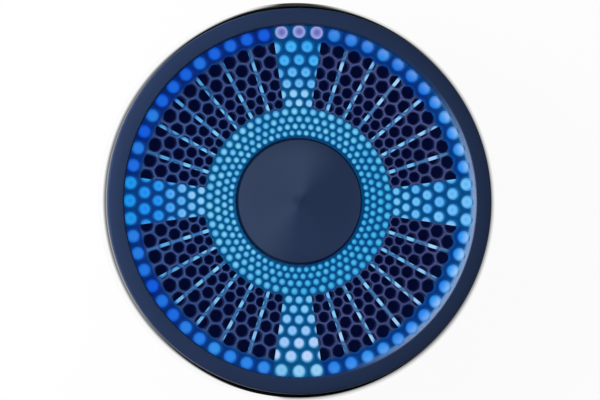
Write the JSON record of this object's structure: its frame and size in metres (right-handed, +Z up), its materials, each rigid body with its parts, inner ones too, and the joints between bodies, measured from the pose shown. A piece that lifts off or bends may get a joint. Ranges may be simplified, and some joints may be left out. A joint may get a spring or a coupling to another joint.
{
  "type": "bluetooth audio receiver",
  "caption": "Round puck-shaped Bluetooth audio receiver with a lit perforated face, a sprung press button in its middle, a polished trim ring and a bay of sockets at the back.",
  "frame": {"origin": "on the table, under the centre of the round body", "axes": "+Z up out of the face, along the button's travel; +Y to the back, where the sockets are; +X to the right of a person who faces the front"},
  "size_m": [0.09, 0.09, 0.03],
  "materials": {
    "navy_satin": "satin navy paint",
    "navy_spun": "circular-spun, navy anodised",
    "navy_grille": "satin navy paint",
    "polished_rim": "polished",
    "black_case": "fine-grained satin black",
    "black_moulding": "plain moulded black",
    "foot_rubber": "matt",
    "screw_steel": "zinc plated",
    "mask_ink": "matt black print",
    "lit_screen": "opal, lit blue",
    "white_frame": "reflective white",
    "white_board": "white solder mask",
    "blue_lamp": "lit blue",
    "cyan_lamp": "lit cyan",
    "violet_lamp": "lit lavender",
    "spring_steel": "drawn wire",
    "switch_body": "moulded dark grey",
    "green_board": "green solder mask",
    "blue_board": "blue solder mask",
    "tinned_can": "tinned",
    "copper_track": "gold flash",
    "chip_black": "moulded black",
    "ferrite": "dark grey ferrite",
    "can_aluminium": "drawn",
    "socket_ivory": "moulded ivory",
    "ribbon_film": "white film",
    "nickel": "bright nickel plate",
    "insert_white": "moulded white",
    "insert_red": "moulded red"
  },
  "bodies": {
    "receiver": {"foot_ring": "foot_rubber", "base_cover": "black_moulding", "case_screws": "screw_steel", "housing": "black_case", "trim_ring": "polished_rim", "top_bezel": "navy_satin", "grille": "navy_grille", "mask_print": "mask_ink", "light_diffuser": "lit_screen", "light_frame": "white_frame", "light_screws": "screw_steel", "light_board": "white_board", "outer_leds": "blue_lamp", "inner_leds": "cyan_lamp", "slit_leds": "cyan_lamp", "sector_leds": "blue_lamp", "indicator_leds": "violet_lamp", "indicator_pipes": "violet_lamp", "button_guide": "black_moulding", "return_spring": "spring_steel", "tact_switch": "switch_body", "main_board": "green_board", "board_screws": "screw_steel", "bluetooth_module": "blue_board", "module_shield": "tinned_can", "antenna": "copper_track", "audio_chip": "chip_black", "power_chip": "chip_black", "crystal": "tinned_can", "inductor": "ferrite", "capacitors": "can_aluminium", "chip_resistors": "chip_black", "ribbon_sockets": "socket_ivory", "link_ribbon": "ribbon_film", "phono_body": "black_moulding", "phono_sleeves": "nickel", "phono_insert_left": "insert_white", "phono_insert_right": "insert_red", "jack_body": "black_moulding", "jack_bush": "nickel", "usb_shell": "tinned_can", "usb_tongue": "chip_black"},
    "button": {"button_cap": "navy_spun", "button_carrier": "black_moulding", "switch_plunger": "chip_black"}
  },
  "joints": [
    {"name": "button_press", "type": "slide", "parent": "receiver", "child": "button", "axis": [0, 0, -1], "range_m": [0, 0.0006], "stiffness_N_per_m": 600, "springref_m": -0.001, "deforming": ["return_spring"]}
  ]
}
